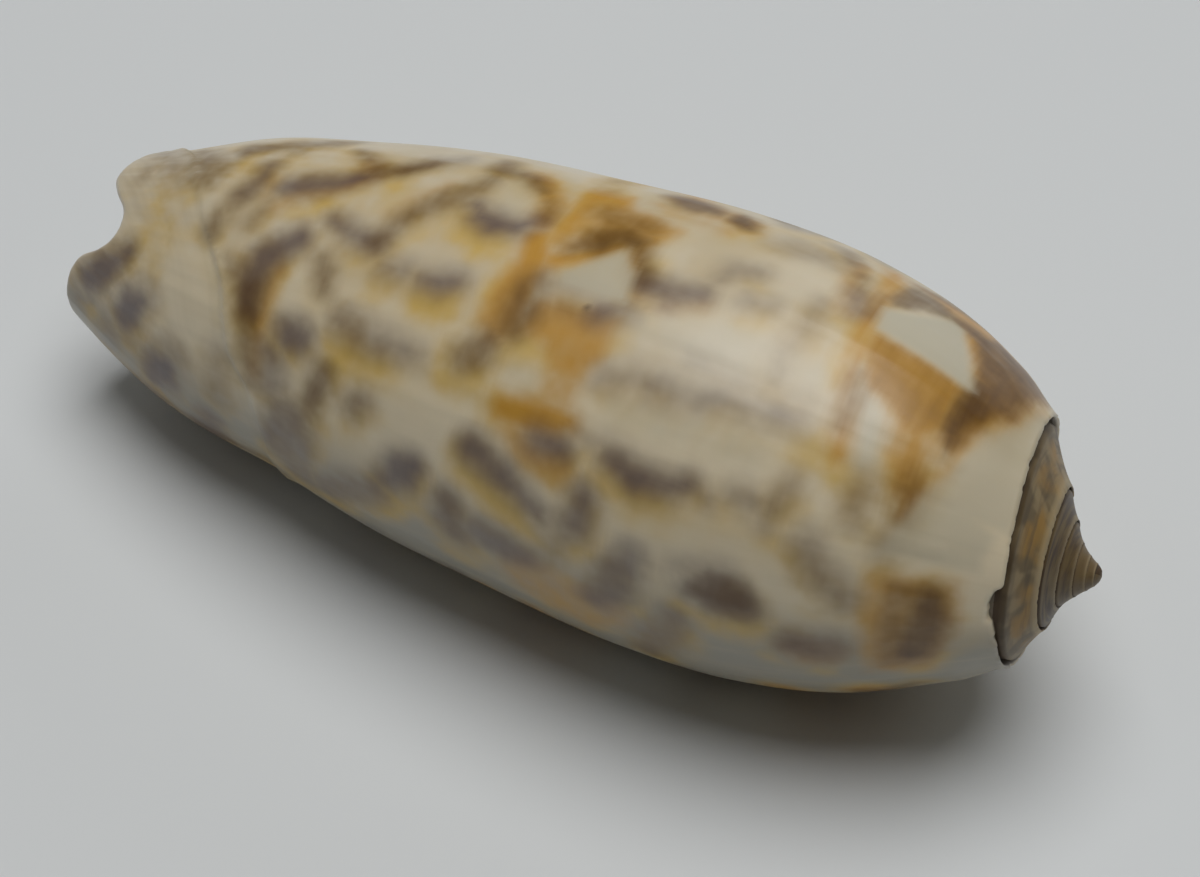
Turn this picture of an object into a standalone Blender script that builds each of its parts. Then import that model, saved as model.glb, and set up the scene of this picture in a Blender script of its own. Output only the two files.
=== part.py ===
"""Olive shell, a sea snail's shell grown in one piece, lying on its mouth.

The shell is laid out along its own coiling axis. x runs from the open front end to the tip
of the spire, and the angle runs round the axis in the direction of growth: 0 is the top of
the shell, 90 the far side, 180 the underside and -90 the near side. Older turns have lower
angles, so the last turn ends at LIP_ANGLE and starts one turn earlier.
"""
import math

import bmesh
import bpy
import numpy as np

for old in list(bpy.data.objects):
    bpy.data.objects.remove(old, do_unlink=True)

# ---------------------------------------------------------------- driving dimensions
LENGTH = 0.072                 # front end to spire tip, along the coiling axis
MM = LENGTH / 72.0             # the lists below are in millimetres on a 72 mm shell
TIP = 72.0
TURN = 360.0

LIP_ANGLE = 143.0              # growth angle of the free edge of the outer lip
START = LIP_ANGLE - TURN       # where the last turn begins, under the lip
BELLY_ANGLE = -150.0           # from here back to START the last turn dips into the mouth
MOUTH_DEPTH = 270.0            # how far round the axis the hollow runs in from the lip

# Radius of the last turn, against the distance from the front end to the suture.
BODY_OUTLINE = [(0.0, 6.1), (3.6, 7.8), (8.6, 10.0), (15.8, 11.85), (24.5, 13.65), (33.8, 14.6),
                (43.2, 15.2), (51.8, 14.7), (59.0, 12.85), (64.1, 10.3), (66.9, 8.8)]
# The same where the last turn begins: the inner wall of the mouth.
INNER_WALL = [(0.0, 1.9), (4.0, 2.3), (12.0, 3.8), (25.0, 6.5), (38.0, 8.3), (50.0, 9.3),
              (58.0, 9.5), (62.0, 9.3), (63.5, 8.95), (66.0, 7.6), (67.9, 6.2)]
OUTLINE_ANGLE = 150.0          # growth angle at which BODY_OUTLINE holds
BODY_GROWTH = 1.051            # widening of the last turn's outline in one turn
CLIMB = 25.0                   # angle in which the last turn's outline leaves the one before
BELLY_POWER = 1.5              # how suddenly the belly dips towards the mouth
RIM_CURL = 3.0                 # stretch over which the outline curls in to the rim

# The raised rim of each turn at the suture, a spiral that closes in on the tip:
# turns from angle 0, radius, and distance below the tip.
RIM_SPIRAL = [(-6.0, 0.4, 0.2), (-5.0, 0.68, 0.5), (-4.0, 1.15, 0.95), (-3.0, 1.85, 1.6),
              (-2.5, 2.35, 2.0), (-2.0, 2.95, 2.4), (-1.6, 3.75, 2.6), (-1.37, 4.2, 2.65),
              (-1.17, 4.45, 3.0), (-1.0, 4.62, 3.3), (-0.83, 5.0, 3.6), (-0.6, 6.2, 3.75),
              (-0.37, 7.35, 4.1), (-0.17, 7.95, 4.85), (0.0, 8.42, 5.56), (0.17, 8.9, 6.2),
              (0.4, 9.7, 7.1)]
SPIRE_LEAN = 0.086             # the spire leans a little to the far side
LEAN_ANGLE = 98.0              # direction in which it leans
SPIRE_TURNS = 4
CHANNEL_SIZE = 8.4             # rim radius at which the groove inside it has this size:
CHANNEL_DEPTH = 0.9
CHANNEL_WIDTH = 0.5
BAND_BULGE = 1.2               # above 1, the band between two grooves is rounded
PLUNGE_FROM = 0.9              # share of that band after which it drops into the next groove
RIM_BAND = 3.6                 # stretch of the last turn next to the suture
SPIRE_BOW = 0.3                # the middle of the spire bows to the near side
BOW_ANGLE = -136.0             # direction of that bow
BOW_START = 67.8               # the bow begins here and is back to nothing at the tip

# The near side of the front end flares out round the end of the pillar.
FLARE = 1.2                    # its height, which fades round the axis and along it
FLARE_ANGLES = [(-217, 0.0), (-180, 0.5), (-145, 1.0), (-115, 0.9), (-85, 0.3), (-60, 0.0)]
FLARE_ALONG = [(-3.0, 1.0), (2.0, 1.0), (5.0, 0.8), (8.0, 0.4), (13.0, 0.0)]

# The front edge: its notch is the siphon's gap, and its lowest point the pillar's foot.
FRONT_EDGE = [(-217, 0.9), (-180, -0.2), (-150, -1.1), (-121, -1.5), (-100, -1.5), (-84, -1.0),
              (-72, -0.1), (-62, 1.3), (-52, 2.4), (-42, 2.9), (-32, 2.6), (-22, 1.4), (-10, 0.5),
              (0, 0.5), (10, 1.0), (26, 1.6), (60, 2.4), (100, 3.2), (130, 4.4), (143, 6.5)]

# Thickness of the outer wall along the shell, and how much wider the hollow is inside the
# front end than at its edge.
WALL = [(-3.0, 0.7), (0.0, 0.9), (6.0, 1.2), (20.0, 1.6), (40.0, 1.9), (62.0, 1.8)]
CANAL_SWELL = [(-3.0, 1.7), (0.0, 1.6), (10.0, 0.9), (20.0, 0.0), (62.0, 0.0)]
HOLLOW_ROOT = 0.2              # share of the mouth's length, at its closed end, in which it opens
HOLLOW_TAPER = 3               # how late the hollow narrows on its way in
PILLAR_RECESS = 6.0            # how far the pillar's end lies back inside the siphon's canal
RECESS_POWER = 6               # how close to the front end that is felt
PILLAR_CENTRE = (1.4, 1.8, -165.0)      # x, radius and angle of the middle of the pillar's foot

# How it lies: turned about its axis and tipped along its length until it rests on the lip
# and the belly.
ROLL = 5.9
PITCH = -4.1

# ---------------------------------------------------------------- mesh density
COLUMNS = 48                   # steps round one turn
CHANNEL_ROWS = [-1.0, 0.0]     # -1 the groove's floor, 0 the rim's crest
BAND_ROWS = [0.3, 0.65, 0.93, 1.0]      # 1 the floor of the next turn's groove
CALLUS_ROWS = 2                # between the suture's end and the hollow of the mouth
BODY_ROWS = 19                 # from there to the front edge
EDGE_STEPS = 2                 # round the free edge of the wall


def curve(points, t):
    """Smooth curve through (t, value) points, straight beyond its ends."""
    knots, values = np.array(points, float).T
    slope = np.gradient(values, knots)
    t = np.asarray(t, float)
    i = np.clip(np.searchsorted(knots, t) - 1, 0, len(knots) - 2)
    step = knots[i + 1] - knots[i]
    u = (t - knots[i]) / step
    c = np.clip(u, 0.0, 1.0)
    inside = ((1 + 2 * c) * (1 - c) ** 2 * values[i] + c * (1 - c) ** 2 * step * slope[i]
              + c * c * (3 - 2 * c) * values[i + 1] - c * c * (1 - c) * step * slope[i + 1])
    before = np.minimum(u, 0.0) * step * slope[i]
    after = np.maximum(u - 1.0, 0.0) * step * slope[i + 1]
    return inside + before + after


def within(points, t):
    """The same curve, level beyond its ends."""
    return curve(points, np.clip(t, points[0][0], points[-1][0]))


def ease(t):
    """Smooth step from 0 to 1."""
    t = np.clip(t, 0.0, 1.0)
    return t * t * (3 - 2 * t)


def rim(angle):
    """Crest of the raised rim: distance along the axis, and radius."""
    turns, radii, drops = zip(*RIM_SPIRAL)
    radius = curve(list(zip(turns, radii)), angle / TURN)
    drop = curve(list(zip(turns, drops)), angle / TURN)
    lean = SPIRE_LEAN * radius * np.cos(np.radians(angle - LEAN_ANGLE))
    return TIP - drop - lean, radius


def groove(angle):
    """Floor of the groove inside the rim, where this turn stands on the one before."""
    x, radius = rim(angle)
    size = radius / CHANNEL_SIZE
    return x - CHANNEL_DEPTH * size, radius - CHANNEL_WIDTH * size


def outline(x, angle):
    """Radius of the last turn's outer surface."""
    def open_outline(x):
        body = curve(BODY_OUTLINE, x) * BODY_GROWTH ** ((angle - OUTLINE_ANGLE) / TURN)
        flare = FLARE * within(FLARE_ANGLES, angle) * within(FLARE_ALONG, x)
        into_mouth = np.clip((BELLY_ANGLE - angle) / (BELLY_ANGLE - START), 0.0, 1.0)
        return body + flare + (curve(INNER_WALL, x) - body) * into_mouth ** BELLY_POWER

    rim_x, rim_radius = rim(angle)
    curl = 1 - ease((rim_x - x) / RIM_CURL)
    return open_outline(x) + (rim_radius - open_outline(rim_x)) * curl


def suture_band(angle, q):
    """Groove wall (q from -1 to 0) and the band that shows beside it (q from 0 to 1)."""
    rim_x, rim_radius = rim(angle)
    groove_x, groove_radius = groove(angle)
    turn = np.radians(90.0) * (1.0 + np.minimum(q, 0.0))
    wall_x = groove_x + (rim_x - groove_x) * np.sin(turn)
    wall_radius = groove_radius + (rim_radius - groove_radius) * (1 - np.cos(turn))

    across = np.clip(q, 0.0, 1.0)
    next_x, next_radius = groove(angle + TURN)
    plunge = CHANNEL_DEPTH * next_radius / CHANNEL_SIZE
    old_x = rim_x + (next_x + plunge - rim_x) * across ** BAND_BULGE
    old_x = old_x - plunge * ease((across - PLUNGE_FROM) / (1 - PLUNGE_FROM))
    old_radius = rim_radius + (next_radius - rim_radius) * across
    new_x = rim_x - RIM_BAND * across
    new_radius = outline(new_x, angle)
    grown = ease((angle - START) / CLIMB)
    band_x = old_x + (new_x - old_x) * grown
    band_radius = old_radius + (new_radius - old_radius) * grown
    return np.where(q < 0, wall_x, band_x), np.where(q < 0, wall_radius, band_radius)


def place(x, radius, angle):
    """Shell coordinates to a point, tipped and turned to the pose it rests in."""
    x, radius, angle = np.broadcast_arrays(x, radius, angle)
    bow = SPIRE_BOW * np.sin(np.pi * np.clip((x - BOW_START) / (TIP - BOW_START), 0.0, 1.0))
    a, bow_a = np.radians(angle + ROLL), math.radians(BOW_ANGLE + ROLL)
    y = radius * np.sin(a) + bow * math.sin(bow_a)
    z = radius * np.cos(a) + bow * math.cos(bow_a)
    tip = math.radians(PITCH)
    return np.stack([x * math.cos(tip) + z * math.sin(tip), y,
                     z * math.cos(tip) - x * math.sin(tip)], -1) * MM


# ---------------------------------------------------------------- the surfaces
def outer_rows():
    """x, radius and angle of the last turn's outer surface, one column for each step."""
    angles = START + TURN * np.arange(COLUMNS + 1)[:, None] / COLUMNS
    q = np.array(CHANNEL_ROWS + BAND_ROWS)[None, :]
    band_x, band_radius = suture_band(angles, q)
    front = curve(FRONT_EDGE, angles)
    down = np.arange(1, CALLUS_ROWS + BODY_ROWS + 1) / (CALLUS_ROWS + BODY_ROWS)
    x = band_x[:, -1:] + (front - band_x[:, -1:]) * down[None, :]
    radius = outline(x, angles)
    x = np.concatenate([band_x, x], axis=1)
    radius = np.concatenate([band_radius, radius], axis=1)
    return x, radius, angles * np.ones_like(x)


def hollow_rows(x, radius, angle):
    """The hollow behind the lip: its ceiling under the outer wall, and its floor."""
    first = len(CHANNEL_ROWS + BAND_ROWS) - 1 + CALLUS_ROWS
    steps = round(COLUMNS * MOUTH_DEPTH / TURN)
    deep = np.arange(steps + 1)[:, None] / steps
    roof_x, roof_radius, roof_angle = (g[::-1][:steps + 1, first:] for g in (x, radius, angle))
    start_x, start_radius = x[:1, first:], radius[:1, first:]

    along = np.arange(start_x.shape[1])[None, :] / (start_x.shape[1] - 1)
    wall = curve(WALL, roof_x)
    root = (roof_radius[0, 0] - start_radius[0, 0] - wall[0, 0]) * (1 - ease(along / HOLLOW_ROOT))
    roof_radius = roof_radius - wall - root
    gap = (roof_radius[:1] - start_radius) * (1 - deep ** HOLLOW_TAPER)
    gap = gap + curve(CANAL_SWELL, roof_x) * np.sin(np.pi * deep) * ease(along / HOLLOW_ROOT)
    floor_radius = roof_radius - gap

    floor_x = start_x + (roof_x[-1:] - start_x) * ease(deep)
    floor_x = floor_x + PILLAR_RECESS * np.sin(np.pi * deep) ** 2 * along ** RECESS_POWER
    roof_x = roof_x + (floor_x[:, :1] - roof_x[:, :1]) * (1 - along)
    return (roof_x, roof_radius, roof_angle), (floor_x, floor_radius, roof_angle)


# ---------------------------------------------------------------- the mesh
mesh_data = bmesh.new()


def add_grid(x, radius, angle):
    """New vertices for a grid of shell coordinates, as nested lists."""
    points = place(x, radius, angle)
    return [[mesh_data.verts.new(point) for point in column] for column in points]


def stitch(chain_a, chain_b):
    """Faces between two chains of vertices, which may differ in length or share ends."""
    a = b = 0
    while a < len(chain_a) - 1 or b < len(chain_b) - 1:
        reach_a = (a + 1) / max(len(chain_a) - 1, 1) if a < len(chain_a) - 1 else 2.0
        reach_b = (b + 1) / max(len(chain_b) - 1, 1) if b < len(chain_b) - 1 else 2.0
        corners = [chain_a[a], chain_b[b]]
        if reach_b <= reach_a + 1e-9:
            b += 1
            corners.append(chain_b[b])
        if reach_a <= reach_b + 1e-9 and a < len(chain_a) - 1:
            a += 1
            corners.append(chain_a[a])
        corners = list(dict.fromkeys(corners))
        if len(corners) > 2:
            mesh_data.faces.new(corners)


def stitch_grid(chains):
    """Faces between each chain of vertices and the next."""
    for chain_a, chain_b in zip(chains, chains[1:]):
        stitch(chain_a, chain_b)


def round_edge(outer, inner, behind):
    """Vertices between an outer and an inner edge vertex, bulging away from behind."""
    middle = (outer.co + inner.co) / 2
    bulge = (outer.co - behind.co).normalized() * (outer.co - inner.co).length / 2
    turns = [math.pi * k / EDGE_STEPS for k in range(1, EDGE_STEPS)]
    new = [mesh_data.verts.new(middle + (outer.co - middle) * math.cos(t) + bulge * math.sin(t))
           for t in turns]
    return [outer] + new + [inner]


def build_shell():
    """The whole closed surface: outside, hollow, free edge, callus and the pillar's foot."""
    band = len(CHANNEL_ROWS + BAND_ROWS) - 1
    first = band + CALLUS_ROWS
    x, radius, angle = outer_rows()
    outer = add_grid(x, radius, angle)
    lip = outer[-1]

    # The spire: older columns, whose last row is the first row of the column a turn later.
    older = START - TURN * np.arange(1, SPIRE_TURNS * COLUMNS + 1)[::-1, None] / COLUMNS
    q = np.array((CHANNEL_ROWS + BAND_ROWS)[:-1])[None, :]
    spire_x, spire_radius = suture_band(older, q)
    spire = add_grid(spire_x, spire_radius, older * np.ones_like(spire_x))
    columns = spire + outer
    start = len(spire)
    mesh_data.verts.remove(outer[0][band])
    outer[0][band] = lip[0]
    for at in range(start):
        spire[at].append(columns[at + COLUMNS][0])
    stitch_grid([column[:band + 1] for column in columns[:start + 1]])
    stitch_grid(outer)
    loop = [column[0] for column in columns[:COLUMNS + 1]] + columns[0][1:band][::-1]
    tip = mesh_data.verts.new(place(TIP, 0.0, 0.0))
    for a, b in zip(loop, loop[1:] + loop[:1]):
        mesh_data.faces.new((a, b, tip))

    # The hollow, which starts at the inner wall and ends blind, far round the axis.
    roof_at, floor_at = hollow_rows(x, radius, angle)
    roof = add_grid(*roof_at)
    floor = add_grid(*floor_at)
    for row, vertex in enumerate(outer[0][first:]):
        mesh_data.verts.remove(floor[0][row])
        floor[0][row] = vertex
    for row in range(len(roof[-1])):
        mesh_data.verts.remove(roof[-1][row])
        roof[-1][row] = floor[-1][row]
    for column in range(len(roof) - 1):
        mesh_data.verts.remove(roof[column][0])
        roof[column][0] = floor[column][0]
    stitch_grid(roof)
    stitch_grid(floor)

    # The free edge: along the lip, round its front corner and along the front edge.
    outer_path = [(lip[row], outer[-2][row]) for row in range(first, len(lip) - 1)]
    outer_path.append((lip[-1], outer[-2][-2]))
    outer_path += [(column[-1], column[-2]) for column in outer[::-1][1:len(roof)]]
    inner_path = roof[0] + [column[-1] for column in roof[1:]]
    edge = [round_edge(a, b, behind) for (a, behind), b in zip(outer_path, inner_path)]
    stitch_grid(edge)

    # The callus that glues the end of the lip to the turn before, up to the suture.
    pillar_wall = outer[0][band:first + 1]
    chains = [lip[:first + 1]]
    for step in range(1, EDGE_STEPS):
        chain = [lip[0]]
        for row in range(1, first):
            down = CALLUS_ROWS * row / first
            foot = pillar_wall[int(down)].co.lerp(pillar_wall[int(down) + 1].co, down % 1)
            turn = math.pi * step / EDGE_STEPS
            middle = (lip[row].co + foot) / 2
            bulge = (lip[row].co - outer[-2][row].co).normalized()
            reach = (lip[row].co - foot).length / 2
            chain.append(mesh_data.verts.new(middle + (lip[row].co - middle) * math.cos(turn)
                                             + bulge * reach * math.sin(turn)))
        chain.append(edge[0][step])
        chains.append(chain)
    chains.append(pillar_wall)
    stitch_grid(chains)

    # The foot of the pillar, closed between the front edge, its rounding and the hollow.
    foot_columns = [column[-1] for column in outer[:len(outer) - len(roof) + 1]]
    loop = foot_columns + edge[-1][1:-1] + [column[-1] for column in floor[::-1]][:-1]
    centre = mesh_data.verts.new(place(*PILLAR_CENTRE))
    for a, b in zip(loop, loop[1:] + loop[:1]):
        mesh_data.faces.new((a, b, centre))


build_shell()
bmesh.ops.triangulate(mesh_data, faces=mesh_data.faces)
bmesh.ops.recalc_face_normals(mesh_data, faces=mesh_data.faces)
if mesh_data.calc_volume(signed=True) < 0:
    bmesh.ops.reverse_faces(mesh_data, faces=mesh_data.faces)
low = [min(v.co[axis] for v in mesh_data.verts) for axis in range(3)]
high = [max(v.co[axis] for v in mesh_data.verts) for axis in range(3)]
for v in mesh_data.verts:
    v.co.x -= (low[0] + high[0]) / 2
    v.co.y -= (low[1] + high[1]) / 2
    v.co.z -= low[2]

shell_mesh = bpy.data.meshes.new("shell")
mesh_data.to_mesh(shell_mesh)
mesh_data.free()
shell_mesh.shade_smooth()

glaze = bpy.data.materials.new("shell_glaze")
glaze.use_nodes = True
surface = glaze.node_tree.nodes["Principled BSDF"]
surface.inputs["Base Color"].default_value = (0.62, 0.52, 0.38, 1.0)
surface.inputs["Roughness"].default_value = 0.25
surface.inputs["Metallic"].default_value = 0.0
shell_mesh.materials.append(glaze)

shell = bpy.data.objects.new("shell", shell_mesh)
bpy.context.scene.collection.objects.link(shell)
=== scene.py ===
import math

import bmesh
import bpy
import numpy as np
from mathutils import Matrix, Vector


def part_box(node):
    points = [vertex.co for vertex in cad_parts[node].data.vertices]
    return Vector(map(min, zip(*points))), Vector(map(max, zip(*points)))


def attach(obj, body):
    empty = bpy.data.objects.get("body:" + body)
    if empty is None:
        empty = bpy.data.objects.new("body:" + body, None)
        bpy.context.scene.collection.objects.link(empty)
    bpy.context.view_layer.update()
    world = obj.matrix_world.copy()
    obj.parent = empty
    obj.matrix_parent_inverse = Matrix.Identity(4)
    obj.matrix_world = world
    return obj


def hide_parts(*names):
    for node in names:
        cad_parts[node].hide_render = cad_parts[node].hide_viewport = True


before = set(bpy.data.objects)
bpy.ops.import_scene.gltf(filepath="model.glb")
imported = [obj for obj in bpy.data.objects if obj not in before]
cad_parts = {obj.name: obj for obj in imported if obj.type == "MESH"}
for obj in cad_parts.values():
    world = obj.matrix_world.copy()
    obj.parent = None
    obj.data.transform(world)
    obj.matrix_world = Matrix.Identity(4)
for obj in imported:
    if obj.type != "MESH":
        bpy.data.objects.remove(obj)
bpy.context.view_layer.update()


# ------------------------ the last turn
# One piece of porcelain-like aragonite, grown round a coiling axis: the last turn wraps the rest.
# x runs in millimetres from the open front end to the spire's tip, and the angle goes the way the
# shell grows: 0 is on top, 90 the far side, 180 the underside and -90 the near side.
TIP = 72.0
TURN = 360.0
LIP_ANGLE = 143.0         # growth angle of the free edge of the outer lip
START = LIP_ANGLE - TURN  # where the last turn begins, under the lip
BELLY_ANGLE = -150.0      # from here back to START the last turn dips into the mouth
OUTLINE_ANGLE = 150.0     # growth angle at which BODY_OUTLINE holds
BODY_GROWTH = 1.051       # widening of the outline in one turn
BELLY_POWER = 1.5         # how suddenly the belly dips towards the mouth
RIM_CURL = 3.0            # stretch over which the outline curls in to the rim
# A list of pairs holds the stops of a smooth curve: a place, as x or an angle, and its value.
BODY_OUTLINE = [(0.0, 6.1), (3.6, 7.8), (8.6, 10.0), (15.8, 11.85), (24.5, 13.65), (33.8, 14.6),
                (43.2, 15.2), (51.8, 14.7), (59.0, 12.85), (64.1, 10.3), (66.9, 8.8)]
INNER_WALL = [(0.0, 1.9), (4.0, 2.3), (12.0, 3.8), (25.0, 6.5), (38.0, 8.3), (50.0, 9.3),
              (58.0, 9.5), (62.0, 9.3), (63.5, 8.95), (66.0, 7.6), (67.9, 6.2)]
FLARE = 1.2               # the front end flares out below, round the pillar's end
FLARE_ANGLES = [(-217, 0.0), (-180, 0.6), (-145, 1.3), (-115, 1.2), (-85, 0.4), (-60, 0.0),
                (-10, 0.0), (30, -0.15), (70, -0.1), (120, 0.0)]
FLARE_ALONG = [(-3.0, 1.0), (2.0, 1.0), (5.0, 0.9), (9.0, 0.6), (14.0, 0.3), (19.0, 0.0)]
FRONT_EDGE = [(-217, 0.9), (-180, -0.2), (-150, -1.1), (-121, -1.6), (-100, -1.65), (-84, -1.2),
              (-72, -0.4), (-62, 1.0), (-52, 2.05), (-42, 2.5), (-32, 2.2), (-22, 1.0),
              (-10, 0.05), (0, -0.05), (10, 0.1), (26, 0.6), (60, 2.0), (100, 3.2), (130, 4.4),
              (143, 6.5)]

# A band of later enamel goes round the front end, bordered by a fine ridge. It lies a little lower
# than the shell beside it on the near side, and a little higher on top and on the far side. A
# faint line is sunk into it, half way to the border.
BAND_BORDER = [(-217, 19.0), (-180, 18.6), (-150, 18.2), (-115, 17.5), (-100, 17.6), (-91, 17.1),
               (-81, 16.2), (-74, 14.8), (-63.5, 13.8), (-51.5, 12.9), (-40, 11.2), (-31.5, 9.7),
               (-21.5, 8.4), (-7.5, 6.3), (4.5, 5.1), (15, 3.6), (30, 2.2), (60, 1.0), (143, -2.0)]
BORDER_STEPS = [(-217, -0.2), (-60, -0.2), (-15, 0.0), (15, 0.25), (50, 0.2), (120, 0.0)]
BORDER_WIDTH = 0.9
BORDER_RIDGE = 0.14
RIDGE_WIDTH = 0.35
BAND_LINE = 0.5           # its share of the way from the front edge to the border
BAND_LINE_DEPTH = 0.05

# Fine folds cross the inner wall of the mouth and wind on in along the pillar.
PLAIT_HEIGHT = 0.17
PLAIT_SPACING = 1.75
PLAIT_REACH = 26.0        # how far they show outside the mouth, as an angle
PLAIT_SLANT = 0.06        # mm of x for each degree
PLAIT_END = 50.0          # x from which they fade out, over PLAIT_FADE
PLAIT_FADE = 6.0
GROWTH_RIPPLES = [(23, 0.4, 0.010), (37, 1.9, 0.008), (58, 4.1, 0.006), (91, 2.6, 0.004)]
RIPPLE_SLANT = 0.07


def curve(stops, t):
    """Smooth curve through (t, value) stops, straight beyond its ends."""
    knots, values = np.array(stops, float).T
    slope = np.gradient(values, knots)
    t = np.asarray(t, float)
    i = np.clip(np.searchsorted(knots, t) - 1, 0, len(knots) - 2)
    step = knots[i + 1] - knots[i]
    u = (t - knots[i]) / step
    c = np.clip(u, 0.0, 1.0)
    inside = ((1 + 2 * c) * (1 - c) ** 2 * values[i] + c * (1 - c) ** 2 * step * slope[i]
              + c * c * (3 - 2 * c) * values[i + 1] - c * c * (1 - c) * step * slope[i + 1])
    before = np.minimum(u, 0.0) * step * slope[i]
    after = np.maximum(u - 1.0, 0.0) * step * slope[i + 1]
    return inside + before + after


def within(stops, t):
    """The same curve, level beyond its ends."""
    return curve(stops, np.clip(t, stops[0][0], stops[-1][0]))


def ease(t):
    """Smooth step from 0 to 1."""
    t = np.clip(t, 0.0, 1.0)
    return t * t * (3 - 2 * t)


def hump(t):
    """Round bump: 1 at 0, and nothing beyond 1 either way."""
    return (1 - np.clip(np.abs(t), 0.0, 1.0) ** 2) ** 2


def outline(x, angle):
    """Radius of the last turn's outer surface, which curls in to the rim at the suture."""
    def open_outline(x):
        body = curve(BODY_OUTLINE, x) * BODY_GROWTH ** ((angle - OUTLINE_ANGLE) / TURN)
        flare = FLARE * within(FLARE_ANGLES, angle) * within(FLARE_ALONG, x)
        into_mouth = np.clip((BELLY_ANGLE - angle) / (BELLY_ANGLE - START), 0.0, 1.0)
        return body + flare + (curve(INNER_WALL, x) - body) * into_mouth ** BELLY_POWER

    rim_x, rim_radius = rim(angle)
    curl = 1 - ease((rim_x - x) / RIM_CURL)
    return open_outline(x) + (rim_radius - open_outline(rim_x)) * curl


def ripples(waves, angle, x=0.0):
    """Sum of waves round the shell, each a count in one turn, a start and a height."""
    return sum(size * np.sin(np.radians(count * angle) + start + RIPPLE_SLANT * x)
               for count, start, size in waves)


def relief(x, angle):
    """Height of the fine forms on the last turn: border, line, folds and growth ripples."""
    border = curve(BAND_BORDER, angle)
    front = curve(FRONT_EDGE, angle)
    height = within(BORDER_STEPS, angle) * (1 - ease((x - border) / BORDER_WIDTH + 0.5))
    height = height + BORDER_RIDGE * hump((x - border) / RIDGE_WIDTH)
    line = front + (border - front) * BAND_LINE
    height = height - BAND_LINE_DEPTH * hump((x - line) / RIDGE_WIDTH)
    slanted = x + PLAIT_SLANT * (angle - START)
    plaits = hump((slanted / PLAIT_SPACING) % 1.0 * 2 - 1)
    fade = (1 - ease((angle - START) / PLAIT_REACH)) * (1 - ease((x - PLAIT_END) / PLAIT_FADE))
    return height + ripples(GROWTH_RIPPLES, angle, x) + PLAIT_HEIGHT * plaits * fade


# ------------------------ the spire
# Older turns of the same wall, wound into a low cone at the back end. Each turn ends in a thin
# raised rim, with a channelled groove inside it where it meets the turn before.
RIM_SPIRAL = [(-6.0, 0.5, 0.16), (-5.0, 0.8, 0.42), (-4.0, 1.2, 0.92), (-3.0, 1.85, 1.6),
              (-2.5, 2.35, 2.0), (-2.0, 2.95, 2.4), (-1.6, 3.75, 2.6), (-1.37, 4.2, 2.65),
              (-1.17, 4.45, 3.0), (-1.0, 4.62, 3.3), (-0.83, 5.0, 3.6), (-0.6, 6.2, 3.75),
              (-0.37, 7.35, 4.1), (-0.17, 7.95, 4.62), (0.0, 8.42, 5.42), (0.17, 8.9, 5.9),
              (0.4, 9.7, 6.75)]         # turns from angle 0, radius, distance below the tip
SPIRE_LEAN = 0.086        # how far it leans for each millimetre of radius
LEAN_ANGLE = 98.0         # the side it leans to
CHANNEL_SIZE = 8.4        # rim radius at which the groove has this depth and width
CHANNEL_DEPTH = 0.9
CHANNEL_WIDTH = 0.38
CHANNEL_POWER = 1.5       # how fast the groove shrinks with its rim
BAND_BULGE = 0.78         # below 1 the band beside a groove is a little hollow, above 1 rounded
PLUNGE_FROM = 0.9         # share of a band after which it drops into the next groove
RIM_BAND = 3.6            # stretch of the last turn next to the rim
CLIMB = 25.0              # angle in which the last turn leaves the one before
CHANNEL_ROWS = [-1.0, -0.82, -0.62, -0.42, -0.22, 0.0]
BAND_ROWS = [0.08, 0.17, 0.28, 0.39, 0.5, 0.61, 0.72, 0.82, 0.9, 0.95, 1.0]

# The thin rim of the last turn is chipped on the near side, and uneven all round.
CHIP = [(-110, 0.0), (-103, 0.15), (-97, 0.3), (-90, 0.45), (-83, 0.65), (-76, 0.8), (-71, 0.65),
        (-67, 0.3), (-62, 0.0)]
RIM_UNEVEN = [(11, 0.7, 0.06), (29, 2.2, 0.055), (53, 5.0, 0.045), (97, 1.1, 0.02)]


def rim(angle):
    """Crest of the raised rim: distance along the axis, and radius."""
    turns, radii, drops = zip(*RIM_SPIRAL)
    radius = curve(list(zip(turns, radii)), angle / TURN)
    drop = curve(list(zip(turns, drops)), angle / TURN)
    lean = SPIRE_LEAN * radius * np.cos(np.radians(angle - LEAN_ANGLE))
    return TIP - drop - lean, radius


def groove(angle):
    """Floor of the groove inside the rim, where this turn stands on the one before."""
    x, radius = rim(angle)
    size = (radius / CHANNEL_SIZE) ** CHANNEL_POWER
    return x - CHANNEL_DEPTH * size, radius - CHANNEL_WIDTH * size


def suture_band(angle, q):
    """Groove wall (q from -1 to 0) and the band that shows beside it (q from 0 to 1)."""
    rim_x, rim_radius = rim(angle)
    groove_x, groove_radius = groove(angle)
    turn = np.radians(90.0) * (1.0 + np.minimum(q, 0.0))
    wall_x = groove_x + (rim_x - groove_x) * np.sin(turn)
    wall_radius = groove_radius + (rim_radius - groove_radius) * (1 - np.cos(turn))

    across = np.clip(q, 0.0, 1.0)
    next_x, next_radius = groove(angle + TURN)
    plunge = CHANNEL_DEPTH * (next_radius / CHANNEL_SIZE) ** CHANNEL_POWER
    old_x = rim_x + (next_x + plunge - rim_x) * across ** BAND_BULGE
    old_x = old_x - plunge * ease((across - PLUNGE_FROM) / (1 - PLUNGE_FROM))
    old_radius = rim_radius + (next_radius - rim_radius) * across
    new_x = rim_x - RIM_BAND * across
    new_radius = outline(new_x, angle)
    grown = ease((angle - START) / CLIMB)
    band_x = old_x + (new_x - old_x) * grown
    band_radius = old_radius + (new_radius - old_radius) * grown

    edge = rim_x - within(CHIP, angle) + ripples(RIM_UNEVEN, angle) * rim_radius / CHANNEL_SIZE
    x = np.where(q < 0, wall_x, band_x)
    return np.minimum(x, edge), np.where(q < 0, wall_radius, band_radius)


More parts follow.
